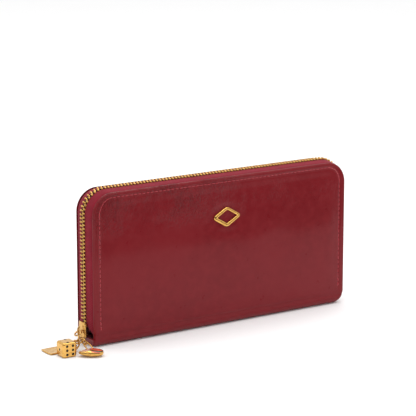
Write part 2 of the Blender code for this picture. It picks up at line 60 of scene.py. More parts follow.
# Sizes read from the frame
COVER_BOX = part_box("front_cover")
SPINE_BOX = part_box("spine_cover")
HALF = COVER_BOX[1].x
HEIGHT = COVER_BOX[1].z
FACE_Y = SPINE_BOX[1].y
INNER_FACE_Y = -COVER_BOX[1].y
LEATHER = FACE_Y - INNER_FACE_Y

# Shape of the covers, as in the CAD
TOP_R = 14.5 * MM
FOOT_R = 8.5 * MM
END_R = {-1: 3.0 * MM, 1: 9.5 * MM}
SPINE_R = 5 * MM
BEND_X = HALF - TOP_R
BEND_Z = HEIGHT - TOP_R

# Leather relief
RIM_R = 1.25 * MM
SEAM_SIDE = 4.8 * MM
SEAM_TOP = 3.3 * MM
SEAM_DEPTH = 0.42 * MM
SEAM_WIDTH = 0.62 * MM
PILLOW = 1.0 * MM
PILLOW_RUN = 8 * MM
EDGE_PUFF = 0.16 * MM
EDGE_GROOVE_DEPTH = 0.10 * MM
EDGE_GROOVE_INSET = 2.3 * MM
EDGE_GROOVE_WIDTH = 0.35 * MM
CREASE_Z = 6.5 * MM
CREASE_DEPTH = 0.22 * MM
CREASE_WIDTH = 0.9 * MM
DENT_DEPTH = 0.14 * MM
EMBLEM_DENT = 0.75 * MM
SIDE_STEPS = 60
BEND_STEPS = 18
TOP_STEPS = 100
INSETS = [
    d * MM
    for d in (
        0, 0.1, 0.26, 0.48, 0.75, 1.1, 1.5, 1.95, 2.35, 2.7, 3.0, 3.3, 3.6, 3.9, 4.2, 4.5, 4.8,
        5.1, 5.4, 5.8, 6.4, 7.2, 8.3, 9.8, 11.8, 14.5,
    )
]
SPINE_ARC_STEPS = 9
SPINE_FLAT_STEPS = 5

# Zip
PITCH = 2.4 * MM
LEFT_ROW_FOOT = 16.2 * MM
RIGHT_ROW_FOOT = 8.5 * MM

# Emblem
EMBLEM_X = 1.5 * MM
EMBLEM_Z = 72.8 * MM
EMBLEM_HALF = (10.6 * MM, 6.8 * MM)

# Charms, where the CAD has them
DIE_SIDE = 9.8 * MM
DIE_CENTRE = Vector((-121.1, -15.0, 4.9)) * MM
DIE_ROUND = 1.55 * MM
DIE_TURN = math.radians(-2)
TAG_CENTRE = Vector((-122.45, -2.9, 0.75)) * MM
TAG_SIZE = Vector((14.3, 12.8, 1.5)) * MM
PETAL_CENTRE = Vector((-108.9, -24.4, 2.5)) * MM
PETAL_LENGTH = 15.6 * MM
PETAL_HEIGHT = 5.0 * MM
PETAL_WIDTH = 10.5 * MM
PETAL_TURN = math.radians(-30)
EYE_WIRE = 0.45 * MM
# Each charm's eye: middle, across its plane, along it, bend radius and how far its ends are drawn out
DIE_EYE = ((-115.0, -13.2, 4.5), (0.28, -0.10, -0.96), (-1.0, 0.0, 0.0), 1.7, 0.0)
PETAL_EYE = ((-107.0, -17.6, 4.4), (0.36, 0.40, -0.80), (0.10, -0.906, -0.41), 1.6, 2.0)
TAG_EYE = ((-114.6, -9.4, 1.9), (0.62, -0.24, -0.75), (-0.78, -0.09, -0.62), 1.4, 0.0)

# Camera
CAMERA_AZIMUTH = math.radians(-33.53)
CAMERA_ELEVATION = math.radians(12.76)
CAMERA_DISTANCE = 1.2722
CAMERA_TARGET = Vector((-5.5, 0, 77.2)) * MM
LENS = 168.7


# Materials


class Paint:
    """A Principled material with its node tree at hand."""

    def __init__(self, name, roughness=0.5, metallic=0.0, **sockets):
        self.material = bpy.data.materials.new(name)
        self.material.use_nodes = True
        self.tree = self.material.node_tree
        self.shader = self.tree.nodes["Principled BSDF"]
        self.shader.inputs["Roughness"].default_value = roughness
        self.shader.inputs["Metallic"].default_value = metallic
        for socket, value in sockets.items():
            self.shader.inputs[socket.replace("_", " ")].default_value = value
        self.place = self.node("ShaderNodeTexCoord").outputs["Object"]

    def node(self, kind, inputs=None, **settings):
        made = self.tree.nodes.new(kind)
        for name, value in settings.items():
            setattr(made, name, value)
        for name, value in (inputs or {}).items():
            self.set(made.inputs[name], value)
        return made

    def set(self, socket, value):
        if isinstance(value, bpy.types.NodeSocket):
            self.tree.links.new(value, socket)
        else:
            socket.default_value = value

    def stretched(self, scale, turn=(0, 0, 0)):
        mapping = self.node("ShaderNodeMapping", {"Vector": self.place, "Scale": scale, "Rotation": turn})
        return mapping.outputs["Vector"]

    def noise(self, scale, detail=3.0, roughness=0.5, place=None, distortion=0.0):
        inputs = {
            "Vector": place or self.place,
            "Scale": scale,
            "Detail": detail,
            "Roughness": roughness,
            "Distortion": distortion,
        }
        return self.node("ShaderNodeTexNoise", inputs).outputs["Fac"]

    def cells(self, scale, feature="F1", place=None):
        inputs = {"Vector": place or self.place, "Scale": scale}
        made = self.node("ShaderNodeTexVoronoi", inputs, feature=feature)
        return made.outputs["Distance"]

    def math(self, operation, a, b=0.0, clamp=False):
        made = self.node("ShaderNodeMath", operation=operation, use_clamp=clamp)
        self.set(made.inputs[0], a)
        self.set(made.inputs[1], b)
        return made.outputs[0]

    def spread(self, value, low, high, new_low=0.0, new_high=1.0):
        """Value, rescaled smoothly from low..high to new_low..new_high."""
        inputs = {"Value": value, "From Min": low, "From Max": high, "To Min": new_low, "To Max": new_high}
        made = self.node("ShaderNodeMapRange", inputs, interpolation_type="SMOOTHSTEP")
        return made.outputs["Result"]

    def mix(self, share, one, other):
        made = self.node("ShaderNodeMix", data_type="RGBA")
        self.set(made.inputs["Factor"], share)
        self.set(made.inputs["A"], one if isinstance(one, bpy.types.NodeSocket) else (*one, 1))
        self.set(made.inputs["B"], other if isinstance(other, bpy.types.NodeSocket) else (*other, 1))
        return made.outputs["Result"]

    def axes(self):
        return self.node("ShaderNodeSeparateXYZ", {"Vector": self.place}).outputs

    def colour(self, value):
        is_socket = isinstance(value, bpy.types.NodeSocket)
        self.set(self.shader.inputs["Base Color"], value if is_socket else (*value, 1))

    def roughness(self, value):
        self.set(self.shader.inputs["Roughness"], value)

    def bump(self, height, distance, strength=1.0, under=None):
        inputs = {"Height": height, "Distance": distance, "Strength": strength}
        if under:
            inputs["Normal"] = under
        made = self.node("ShaderNodeBump", inputs)
        self.set(self.shader.inputs["Normal"], made.outputs["Normal"])
        return made.outputs["Normal"]


def glazed_leather():
    """Smooth red leather with a light glaze, fine pores, and wrinkles that run down from the top seam."""
    paint = Paint("red_leather", Coat_Weight=0.16, Coat_Roughness=0.10, Specular_IOR_Level=0.14)
    broad = paint.noise(22, 2.0)
    mottle = paint.noise(190, 4.0, 0.6)
    deep, bright = (0.148, 0.0046, 0.0082), (0.172, 0.0058, 0.0100)
    base = paint.mix(paint.spread(broad, 0.3, 0.7), deep, bright)
    rubbed = paint.mix(paint.spread(mottle, 0.35, 0.75), base, (0.178, 0.0075, 0.0115))
    paint.colour(rubbed)
    x, _, z = paint.axes()
    near_top = paint.spread(z, 0.066, 0.091)
    to_left = paint.spread(x, 0.055, -0.05, 0.15, 1.0)
    patches = paint.spread(paint.noise(48, 2.0), 0.38, 0.62, 0.15, 1.0)
    wrinkled = paint.math("MULTIPLY", paint.math("MULTIPLY", near_top, to_left), patches)
    folds = paint.noise(1.0, 5.0, 0.62, paint.stretched((250, 90, 170), (0, 0.5, 0)), 1.6)
    paint.roughness(paint.spread(mottle, 0.25, 0.8, 0.27, 0.36))
    grain = paint.bump(paint.cells(1500), 0.00005, 0.30)
    soft = paint.bump(paint.noise(120, 3.0), 0.00018, 0.22, grain)
    paint.bump(paint.math("MULTIPLY", folds, wrinkled), 0.0042, 0.9, soft)
    return paint.material


def plain_leather(name, deep, bright, roughness):
    """The matt leather of the lining, card slots and gussets, also used for the near-black cord whose colour
    is painted shade.
    """
    paint = Paint(name, Specular_IOR_Level=0.35)
    paint.colour(paint.mix(paint.spread(paint.noise(60, 4.0), 0.3, 0.7), deep, bright))
    paint.roughness(paint.spread(paint.noise(300, 3.0), 0.3, 0.7, roughness - 0.06, roughness + 0.08))
    grain = paint.bump(paint.cells(1100), 0.00012, 0.5)
    paint.bump(paint.noise(90, 3.0), 0.0004, 0.25, grain)
    return paint.material


def woven_tape():
    """Herringbone zip tape: fine threads along and across it, with a soft sheen."""
    paint = Paint("zip_tape", Sheen_Weight=0.16, Sheen_Roughness=0.45, Specular_IOR_Level=0.12)
    paint.shader.inputs["Sheen Tint"].default_value = (0.95, 0.35, 0.45, 1)
    warp = paint.node(
        "ShaderNodeTexWave",
        {"Vector": paint.place, "Scale": 210.0, "Distortion": 0.4, "Detail": 1.0},
        bands_direction="Y",
    ).outputs["Fac"]
    weft = paint.node(
        "ShaderNodeTexWave",
        {"Vector": paint.place, "Scale": 380.0, "Distortion": 0.5, "Detail": 1.0},
        bands_direction="DIAGONAL",
    ).outputs["Fac"]
    threads = paint.math("MULTIPLY", warp, weft)
    deep, bright = (0.165, 0.0065, 0.0145), (0.205, 0.009, 0.0195)
    base = paint.mix(paint.spread(paint.noise(160, 3.0), 0.3, 0.7), deep, bright)
    paint.colour(paint.mix(paint.math("MULTIPLY", threads, 0.3), base, (0.28, 0.022, 0.042)))
    paint.roughness(paint.spread(threads, 0.0, 1.0, 0.8, 0.62))
    paint.bump(threads, 0.00008, 0.6)
    return paint.material


def thread():
    paint = Paint("thread", Sheen_Weight=0.4, Specular_IOR_Level=0.45)
    twist = paint.node(
        "ShaderNodeTexWave",
        {"Vector": paint.place, "Scale": 700.0, "Distortion": 0.3},
        bands_direction="DIAGONAL",
    ).outputs["Fac"]
    paint.colour(paint.mix(twist, (0.36, 0.008, 0.018), (0.52, 0.022, 0.042)))
    paint.roughness(paint.spread(twist, 0, 1, 0.35, 0.6))
    paint.bump(twist, 0.0001, 0.6)
    return paint.material


def brass(name, colour, tarnish, low, high, dents):
    """Gold-coloured brass with faint handling marks and a darker tone in places."""
    paint = Paint(name, metallic=1.0)
    cloud = paint.noise(420, 4.0, 0.6)
    paint.colour(paint.mix(paint.spread(cloud, 0.42, 0.78), colour, tarnish))
    paint.roughness(paint.spread(paint.noise(700, 3.0), 0.3, 0.7, low, high))
    paint.bump(paint.noise(dents, 2.0), 0.00035, 0.45)
    return paint.material


def enamel(name, one, other, scale=500, coat=0.15):
    paint = Paint(name, roughness=0.22, Coat_Weight=coat, Coat_Roughness=0.04)
    paint.colour(paint.mix(paint.spread(paint.noise(scale, 3.0), 0.35, 0.65), one, other))
    paint.bump(paint.noise(380, 2.0), 0.0001, 0.25)
    return paint.material


def cardboard():
    paint = Paint("board", Specular_IOR_Level=0.2)
    fibres = paint.noise(1.0, 4.0, 0.6, paint.stretched((300, 900, 900)))
    paint.colour(paint.mix(fibres, (0.34, 0.27, 0.18), (0.56, 0.47, 0.35)))
    paint.roughness(paint.spread(fibres, 0.3, 0.7, 0.8, 0.95))
    paint.bump(fibres, 0.0002, 0.4)
    return paint.material


def floor_finish():
    paint = Paint("floor", roughness=0.75, Specular_IOR_Level=0.15)
    paint.colour(paint.mix(paint.noise(6.0, 2.0), (0.93, 0.93, 0.93), (0.95, 0.95, 0.95)))
    return paint.material


LOOKS = {
    "leather": glazed_leather(),
    "lining": plain_leather("lining_leather", (0.085, 0.0045, 0.0085), (0.125, 0.0065, 0.011), 0.52),
    "tape": woven_tape(),
    "thread": thread(),
    # Near-black cord under the teeth: its colour is painted shade for the shadow in the gaps between the
    # teeth
    "painted_shade_cord": plain_leather("tape_cord_painted_shade", (0.020, 0.0032, 0.0022), (0.032, 0.0048, 0.0032), 0.8),
    "brass": brass("brass", (0.66, 0.385, 0.115), (0.36, 0.17, 0.035), 0.14, 0.25, 900),
    "polished": brass("polished_brass", (0.76, 0.44, 0.12), (0.52, 0.25, 0.05), 0.12, 0.22, 520),
    "board": cardboard(),
    "black": enamel("black_enamel", (0.006, 0.004, 0.004), (0.012, 0.008, 0.007), coat=0.0),
    "coral": enamel("coral_enamel", (0.52, 0.072, 0.035), (0.66, 0.12, 0.06), 300),
    "pink": enamel("pink_enamel", (0.66, 0.33, 0.29), (0.74, 0.45, 0.38), 300),
    "rim": enamel("dark_rim", (0.10, 0.030, 0.018), (0.15, 0.045, 0.026), 300),
    "green": enamel("green_enamel", (0.020, 0.040, 0.014), (0.040, 0.065, 0.022), 300),
}


# Making and placing pieces


def made_mesh(name, bm, look, smooth=True):
    bmesh.ops.recalc_face_normals(bm, faces=bm.faces)
    mesh = bpy.data.meshes.new(name)
    bm.to_mesh(mesh)
    bm.free()
    mesh.materials.append(LOOKS[look])
    if smooth:
        mesh.shade_smooth()
    made = bpy.data.objects.new(name, mesh)
    bpy.context.scene.collection.objects.link(made)
    return made


def settle(piece, body, slot, *nodes):
    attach(piece, body)
    if nodes:
        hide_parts(*nodes)
    return piece


def smoothstep(low, high, value):
    t = min(1.0, max(0.0, (value - low) / (high - low)))
    return t * t * (3 - 2 * t)


def ridge(distance, width):
    return math.exp(-((distance / width) ** 2))


def lofted(bm, sections, closed=True, caps=True):
    """Joins rings of points into a tube."""
    rings = [[bm.verts.new(p) for p in section] for section in sections]
    count = len(rings[0])
    last = count if closed else count - 1
    for one, other in zip(rings, rings[1:]):
        for k in range(last):
            bm.faces.new((one[k], one[(k + 1) % count], other[(k + 1) % count], other[k]))
    if caps:
        bm.faces.new(rings[0][::-1])
        bm.faces.new(rings[-1])
    return rings


def sweep(bm, path, radius, sides=8, cyclic=False):
    """A round wire along a path of points."""
    count = len(path)
    sections = []
    side_on = None
    for i, point in enumerate(path):
        before = path[i - 1] if i or cyclic else path[0]
        after = path[(i + 1) % count] if i + 1 < count or cyclic else path[-1]
        ahead = (after - before).normalized()
        if side_on is None:
            side_on = ahead.orthogonal().normalized()
        side_on = (side_on - ahead * side_on.dot(ahead)).normalized()
        up = ahead.cross(side_on)
        turns = (math.tau * k / sides for k in range(sides))
        sections.append([point + (side_on * math.cos(a) + up * math.sin(a)) * radius for a in turns])
    if cyclic:
        sections.append(sections[0])
    lofted(bm, sections, caps=not cyclic)
    if cyclic:
        bmesh.ops.remove_doubles(bm, verts=bm.verts, dist=1e-7)


def wire_loop(bm, centre, normal, along, radius, stretch, wire, steps=36, sides=10):
    normal = Vector(normal).normalized()
    first = Vector(along)
    first = (first - normal * first.dot(normal)).normalized()
    second = normal.cross(first)
    path = []
    for i in range(steps):
        a = math.tau * (i + 0.5) / steps
        shift = math.copysign(stretch, math.cos(a))
        across = radius * math.sin(a)
        path.append((Vector(centre) + first * (radius * math.cos(a) + shift) + second * across) * MM)
    sweep(bm, path, wire, sides, cyclic=True)


# Leather shell: front cover, spine and back cover in one skin


def edge_in(z, end):
    """How far the outline's end has come in at height z, round the foot corner. end is -1 or 1."""
    r = END_R[end]
    if z >= r:
        return 0.0
    return r - math.sqrt(max(0.0, r**2 - (r - z) ** 2))


def ring(inset):
    """An open arch of (x, z, turn), from the left foot over the top to the right foot. turn is 1 on top."""
    r = TOP_R - inset
    left = [(-HALF + inset, FOOT_R + (BEND_Z - FOOT_R) * i / SIDE_STEPS, 0.0) for i in range(SIDE_STEPS)]
    for i in range(BEND_STEPS):
        a = math.pi / 2 * i / BEND_STEPS
        left.append((-BEND_X - r * math.cos(a), BEND_Z + r * math.sin(a), math.sin(a) ** 2))
    top = [(-BEND_X + 2 * BEND_X * i / TOP_STEPS, HEIGHT - inset, 1.0) for i in range(TOP_STEPS + 1)]
    right = [(-x, z, turn) for x, z, turn in reversed(left)]
    return left + top + right


def seam_inset(turn):
    return SEAM_SIDE + (SEAM_TOP - SEAM_SIDE) * turn


def panel_lift(x, z, inset, turn, has_emblem):
    """How far the leather stands out from the flat of the cover."""
    lift = 0.0
    if inset < RIM_R:
        lift -= RIM_R - math.sqrt(RIM_R**2 - (RIM_R - inset) ** 2)
    seam = seam_inset(turn)
    foot_fade = smoothstep(9 * MM, 15 * MM, z)
    lift += EDGE_PUFF * smoothstep(0.6 * MM, 1.6 * MM, inset) * (1 - smoothstep(1.9 * MM, seam, inset))
    groove = ridge(inset - EDGE_GROOVE_INSET, EDGE_GROOVE_WIDTH)
    lift -= EDGE_GROOVE_DEPTH * groove * smoothstep(4 * MM, 14 * MM, z)
    lift -= SEAM_DEPTH * ridge(inset - seam, SEAM_WIDTH) * foot_fade
    pillow = smoothstep(seam, seam + PILLOW_RUN, inset)
    lift += 0.45 * PILLOW * pillow * smoothstep(6 * MM, 20 * MM, z)
    across = max(0.0, 1 - (x / (HALF - 2 * MM)) ** 4)
    rise = max(0.0, 1 - ((z - 0.44 * HEIGHT) / (0.56 * HEIGHT)) ** 2)
    lift += 0.75 * PILLOW * pillow * across * rise
    lift -= CREASE_DEPTH * ridge(z - CREASE_Z, CREASE_WIDTH)
    dents = noise.noise(Vector((x * 38, z * 44, 3.1)))
    lift += DENT_DEPTH * dents * pillow
    if has_emblem:
        u, v = (x - EMBLEM_X) / EMBLEM_HALF[0], (z - EMBLEM_Z) / EMBLEM_HALF[1]
        lift -= EMBLEM_DENT * math.exp(-((u * u + v * v) / 1.9) ** 2) * (lift / PILLOW)
    return lift


def spine_rows():
    """(y, z, outward y, outward z) down the front foot, under the spine and up the back foot."""
    rows = []
    for z in (7.8, 7.1, 6.7, 6.3, 5.8, 5.4):
        rows.append((-FACE_Y, z * MM, -1.0, 0.0))
    corner = -FACE_Y + SPINE_R
    for i in range(SPINE_ARC_STEPS + 1):
        a = math.pi + math.pi / 2 * i / SPINE_ARC_STEPS
        c, s = math.cos(a), math.sin(a)
        rows.append((corner + SPINE_R * c, SPINE_R + SPINE_R * s, c, s))
    for i in range(1, SPINE_FLAT_STEPS):
        rows.append((corner - 2 * corner * i / SPINE_FLAT_STEPS, 0.0, 0.0, -1.0))
    half = len(rows) - (SPINE_FLAT_STEPS - 1)
    return rows + [(-y, z, -ny, nz) for y, z, ny, nz in reversed(rows[:half])]


class Skin:
    """One layer of the shell, outer or inner, as a sheet of vertices that share their topology."""

    def __init__(self, bm, outer):
        self.bm = bm
        self.outer = outer

    def panel_point(self, x, z, inset, turn, side):
        if not self.outer:
            return Vector((x, side * INNER_FACE_Y, z))
        lift = panel_lift(x, z, inset, turn, side < 0)
        return Vector((x, side * (FACE_Y + lift), z))

    def panel(self, side):
        """Rings of vertices at each inset, then a grid inside the last; returns the rim and the foot row."""
        rings = []
        for inset in INSETS:
            verts, previous, last_place = [], None, None
            for x, z, turn in ring(inset):
                place = (round(x, 7), round(z, 7))
                if place != last_place:
                    previous = self.bm.verts.new(self.panel_point(x, z, inset, turn, side))
                verts.append(previous)
                last_place = place
            rings.append(verts)
        for one, other in zip(rings, rings[1:]):
            for k in range(len(one) - 1):
                self.face(one[k], one[k + 1], other[k + 1], other[k])
        inmost = rings[-1]
        left = inmost[: SIDE_STEPS + 1]
        left[-1] = inmost[SIDE_STEPS + BEND_STEPS]
        top = inmost[SIDE_STEPS + BEND_STEPS : SIDE_STEPS + BEND_STEPS + TOP_STEPS + 1]
        right = inmost[::-1][: SIDE_STEPS + 1]
        right[-1] = top[-1]
        grid = [left]
        for i in range(1, TOP_STEPS):
            x = -BEND_X + 2 * BEND_X * i / TOP_STEPS
            column = []
            for k in range(SIDE_STEPS):
                z = FOOT_R + (BEND_Z - FOOT_R) * k / SIDE_STEPS
                inset = min(HALF - abs(x), HEIGHT - z)
                column.append(self.bm.verts.new(self.panel_point(x, z, inset, 0.5, side)))
            grid.append(column + [top[i]])
        grid.append(right)
        for one, other in zip(grid, grid[1:]):
            for k in range(SIDE_STEPS):
                self.face(one[k], other[k], other[k + 1], one[k + 1])
        foot = [r[0] for r in rings[:-1]] + [c[0] for c in grid] + [r[-1] for r in reversed(rings[:-1])]
        return rings[0], foot

    def face(self, *corners):
        unique = list(dict.fromkeys(corners))
        if len(unique) > 2:
            self.bm.faces.new(unique)

    def build(self):
        """The whole layer; returns its border, in order."""
        front_rim, front_foot = self.panel(-1)
        back_rim, back_foot = self.panel(1)
        columns = [v.co.x for v in front_foot]
        previous = front_foot
        left_end, right_end = [], []
        for y, z, ny, nz in spine_rows():
            row = []
            for x in columns:
                inset = HALF - abs(x)
                drop = edge_in(z, -1 if x < 0 else 1)
                inward = drop * smoothstep(HALF - 45 * MM, HALF, abs(x))
                lift = -LEATHER
                if self.outer:
                    lift = 0.0
                    if inset < RIM_R:
                        lift -= RIM_R - math.sqrt(RIM_R**2 - (RIM_R - inset) ** 2)
                    if abs(ny) == 1.0:
                        lift -= CREASE_DEPTH * ridge(z - CREASE_Z, CREASE_WIDTH)
                place = (x - math.copysign(inward, x), y + ny * lift, z + nz * lift)
                row.append(self.bm.verts.new(place))
            self.join(previous, row)
            left_end.append(row[0])
            right_end.append(row[-1])
            previous = row
        self.join(previous, back_foot)
        return front_rim + right_end + back_rim[::-1] + left_end[::-1]

    def join(self, one, other):
        for k in range(len(one) - 1):
            self.face(one[k], one[k + 1], other[k + 1], other[k])


def leather_shell():
    bm = bmesh.new()
    outer = Skin(bm, True).build()
    inner = Skin(bm, False).build()
    for k in range(len(outer)):
        n = (k + 1) % len(outer)
        bm.faces.new((outer[k], outer[n], inner[n], inner[k]))
    shell = made_mesh("leather_shell", bm, "leather")
    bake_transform(shell)
    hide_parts("front_cover", "back_cover", "spine_cover")


# Paths round the outline


def outline_path(inset, left_foot, right_foot, pitch, shift=0.0):
    """(x, z, outward x, outward z) along the arch at an inset, every pitch."""
    r = TOP_R - inset
    quarter = r * math.pi / 2
    runs = (BEND_Z - left_foot, quarter, 2 * BEND_X, quarter, BEND_Z - right_foot)
    total = sum(runs)
    points = []
    for i in range(int(total / pitch) + 1):
        s = i * pitch + shift
        if s > total:
            break
        points.append(outline_point(s, r, inset, left_foot, runs))
    return points


def outline_point(s, r, inset, left_foot, runs):
    if s <= runs[0]:
        return (-HALF + inset, left_foot + s, -1.0, 0.0)
    s -= runs[0]
    if s <= runs[1]:
        a = math.pi - s / r
        return (-BEND_X + r * math.cos(a), BEND_Z + r * math.sin(a), math.cos(a), math.sin(a))
    s -= runs[1]
    if s <= runs[2]:
        return (-BEND_X + s, HEIGHT - inset, 0.0, 1.0)
    s -= runs[2]
    if s <= runs[3]:
        a = math.pi / 2 - s / r
        return (BEND_X + r * math.cos(a), BEND_Z + r * math.sin(a), math.cos(a), math.sin(a))
    s -= runs[3]
    return (HALF - inset, BEND_Z - s, 1.0, 0.0)


def stitch(bm, start, end, out, sag, radius):
    """One thread stitch: a short wire that dives into the leather at both ends."""
    path = []
    for k in range(7):
        t = k / 6
        path.append(start.lerp(end, t) + out * (sag * math.sin(math.pi * t) ** 0.6 - 0.5 * sag))
    sweep(bm, path, radius, 6)


STITCH_PITCH = 3.1 * MM
STITCH_LENGTH = 2.3 * MM
SEAM_FOOT = 12 * MM
BAR_TACK_TOP = 19.5 * MM


def seam(side):
    """Stitches round one cover, in the channel, with heavier bar-tack stitches at each foot."""
    bm = bmesh.new()
    rng = random.Random(11 if side < 0 else 12)
    out = Vector((0, side, 0))
    has_emblem = side < 0
    for x, z, nx, nz in outline_path(0, SEAM_FOOT, SEAM_FOOT, STITCH_PITCH, 0.3 * MM):
        turn = nz * nz
        inset = seam_inset(turn)
        along = Vector((nz, 0, -nx))
        middle = Vector((x - nx * inset, 0, z - nz * inset))
        lift = panel_lift(middle.x, middle.z, inset, turn, has_emblem)
        middle.y = side * (FACE_Y + lift + 0.02 * MM)
        slant = Vector((nx, 0, nz)) * rng.uniform(-0.10, 0.16) * MM
        half = along * (STITCH_LENGTH / 2 * rng.uniform(0.86, 1.06))
        sag, radius = (0.42, 0.34) if z < BAR_TACK_TOP else (0.2, 0.25)
        stitch(bm, middle - half - slant, middle + half + slant, out, sag * MM, radius * MM)
    half_name = "front" if side < 0 else "back"
    settle(made_mesh(f"{half_name}_stitches", bm, "thread"), f"{half_name}_half", "red_leather")


# Zip


TAPE_SECTION = (
    (-5.0, 9.52), (-2.2, 9.48), (-1.25, 9.38), (-0.72, 9.05), (-0.40, 8.35), (-0.16, 7.3), (0.02, 6.0),
    (0.12, 4.8), (0.20, 3.7), (0.27, 2.6), (0.28, 1.6),
)
TAPE_THICKNESS = 0.55 * MM
TAPE_PITCH = 2.2 * MM
TAPE_FOOT = SPINE_R + 1.3 * MM
# The tape's foot turns in below TUCK_TOP, and lower by TUCK_SLANT for each mm outward from TUCK_FROM_Y
TUCK_TOP = 14.2
TUCK_SLANT = 0.62
TUCK_FROM_Y = 2.5
TUCK_DEPTH = 8.5 * MM
TUCK_RUN = 9.5 * MM


def tuck_in(z, y):
    """How far the tape's foot turns in to the spine: along a slant that starts higher by the teeth."""
    start = (TUCK_TOP - TUCK_SLANT * max(0.0, y - TUCK_FROM_Y)) * MM
    return TUCK_DEPTH * max(0.0, (start - z) / TUCK_RUN) ** 1.5


def tape_wall(side):
    """A woven tape that comes out from under the cover and curves over to its teeth."""
    bm = bmesh.new()
    half = "front" if side < 0 else "back"
    rows = []
    for x, z, nx, nz in outline_path(0, TAPE_FOOT, TAPE_FOOT, TAPE_PITCH):
        row = []
        for offset, y in TAPE_SECTION:
            wave = 0.05 * MM * noise.noise(Vector((x * 90, z * 90, y + 9 * side))) if offset > -1 else 0.0
            reach = offset * MM + wave
            px, pz = x + nx * reach, z + nz * reach
            if abs(nx) > 0.9:
                px -= nx * edge_in(pz, -1 if px < 0 else 1)
                px -= nx * tuck_in(pz, y)
            row.append(bm.verts.new((px, side * y * MM, pz)))
        rows.append(row)
    for one, other in zip(rows, rows[1:]):
        for k in range(len(one) - 1):
            bm.faces.new((one[k], one[k + 1], other[k + 1], other[k]))
    tape = made_mesh(f"{half}_tape", bm, "tape")
    thick = tape.modifiers.new("Thickness", "SOLIDIFY")
    thick.thickness = TAPE_THICKNESS
    thick.offset = -1 if side > 0 else 1
    thick.use_even_offset = False
    settle(tape, f"{half}_half", "zip_tape", f"{half}_zip_tape")


# A tooth along its length from its tip in the middle of the zip: (y, half width, half height, rise)
TOOTH_SECTIONS = (
    (-0.55, 0.14, 0.18, 0.82), (-0.46, 0.34, 0.36, 0.82), (-0.10, 0.48, 0.46, 0.84),
    (0.28, 0.44, 0.50, 0.90), (0.50, 0.38, 0.58, 1.02), (0.78, 0.50, 0.74, 1.16),
    (1.15, 0.60, 0.86, 1.24), (1.65, 0.63, 0.88, 1.25), (2.12, 0.60, 0.82, 1.20),
    (2.48, 0.48, 0.66, 1.12), (2.70, 0.28, 0.36, 1.05),
)
TOOTH_SIDES = 12
TOOTH_SLANT = 0.14
BEAD_PITCH = 1.6 * MM
# Round the cord under the teeth: (y, rise)
BEAD_SECTION = ((0.10, 0.10), (0.30, 0.34), (0.9, 0.48), (1.8, 0.52), (2.5, 0.46), (3.0, 0.30), (3.15, 0.10))


def tooth(bm, x, z, nx, nz, side):
    """One cast tooth: a rounded head that reaches past the middle, a neck, and jaws on the tape's edge."""
    out = Vector((nx, 0, nz))
    along = Vector((nz, 0, -nx))
    sections = []
    for y, wide, high, rise in TOOTH_SECTIONS:
        slant = TOOTH_SLANT * (y - 1) * side * MM
        middle = Vector((x, side * y * MM, z)) + out * rise * MM + along * slant
        section = []
        for k in range(TOOTH_SIDES):
            a = math.tau * (k + 0.5) / TOOTH_SIDES
            c, s = math.cos(a), math.sin(a)
            c, s = math.copysign(abs(c) ** 0.75, c), math.copysign(abs(s) ** 0.75, s)
            section.append(middle + (along * c * wide + out * s * high) * MM)
        sections.append(section if side > 0 else section[::-1])
    lofted(bm, sections)


def teeth(side):
    bm = bmesh.new()
    shift = 0.0 if side < 0 else PITCH / 2
    for x, z, nx, nz in outline_path(0, LEFT_ROW_FOOT, RIGHT_ROW_FOOT, PITCH, shift):
        tooth(bm, x, z, nx, nz, side)
    half = "front" if side < 0 else "back"
    settle(made_mesh(f"{half}_teeth", bm, "brass"), f"{half}_half", "brass", f"{half}_teeth_row")


def tape_cord_painted_shade(side):
    """The cord along the tape's edge that the teeth are clamped on, near black as painted shade for the
    shadow between the teeth.
    """
    bm = bmesh.new()
    sections = []
    for x, z, nx, nz in outline_path(0, LEFT_ROW_FOOT - 7 * MM, RIGHT_ROW_FOOT, BEAD_PITCH):
        out = Vector((nx, 0, nz))
        sections.append([Vector((x, side * y * MM, z)) + out * rise * MM for y, rise in BEAD_SECTION])
    lofted(bm, sections)
    half = "front" if side < 0 else "back"
    settle(made_mesh(f"{half}_tape_cord_painted_shade", bm, "painted_shade_cord"), f"{half}_half", "zip_tape")


# Emblem


def lozenge_path(half_x, half_z, corner, steps=8):
    """A lozenge with round corners, as (x, z)."""
    corners = [Vector((half_x, 0)), Vector((0, half_z)), Vector((-half_x, 0)), Vector((0, -half_z))]
    points = []
    for i, here in enumerate(corners):
        before = (corners[i - 1] - here).normalized()
        after = (corners[(i + 1) % 4] - here).normalized()
        for k in range(steps + 1):
            t = k / steps
            points.append(here + before * corner * (1 - t) ** 2 + after * corner * t**2)
    return points


EMBLEM_SECTION = (
    (-0.85, -0.62), (-0.80, 0.05), (-0.55, 0.42), (-0.15, 0.55), (0.30, 0.50), (0.68, 0.22), (0.85, -0.62),
)
EMBLEM_PLANE = -11.95 * MM


def emblem_piece():
    """A plain lozenge frame, cast with a soft, uneven section."""
    bm = bmesh.new()
    middle_x = EMBLEM_HALF[0] - 0.75 * MM
    middle_z = EMBLEM_HALF[1] - 0.95 * MM
    path = lozenge_path(middle_x, middle_z, 1.7 * MM)
    sections = []
    for i, here in enumerate(path):
        ahead = (path[(i + 1) % len(path)] - path[i - 1]).normalized()
        out = Vector((ahead.y, -ahead.x))
        swell = 1.5 + 0.2 * math.sin(math.atan2(here.y, here.x) - 2.4)
        section = []
        for across, rise in EMBLEM_SECTION:
            place = here + out * (across * swell * MM)
            section.append(Vector((EMBLEM_X + place.x, EMBLEM_PLANE - rise * MM, EMBLEM_Z + place.y)))
        sections.append(section)
    sections.append(sections[0])
    lofted(bm, sections, caps=False)
    bmesh.ops.remove_doubles(bm, verts=bm.verts, dist=1e-7)
    piece = made_mesh("emblem_frame", bm, "polished")
    refined = piece.modifiers.new("Round", "SUBSURF")
    refined.levels = refined.render_levels = 1
    settle(piece, "front_half", "polished_brass", "emblem")


# Charms


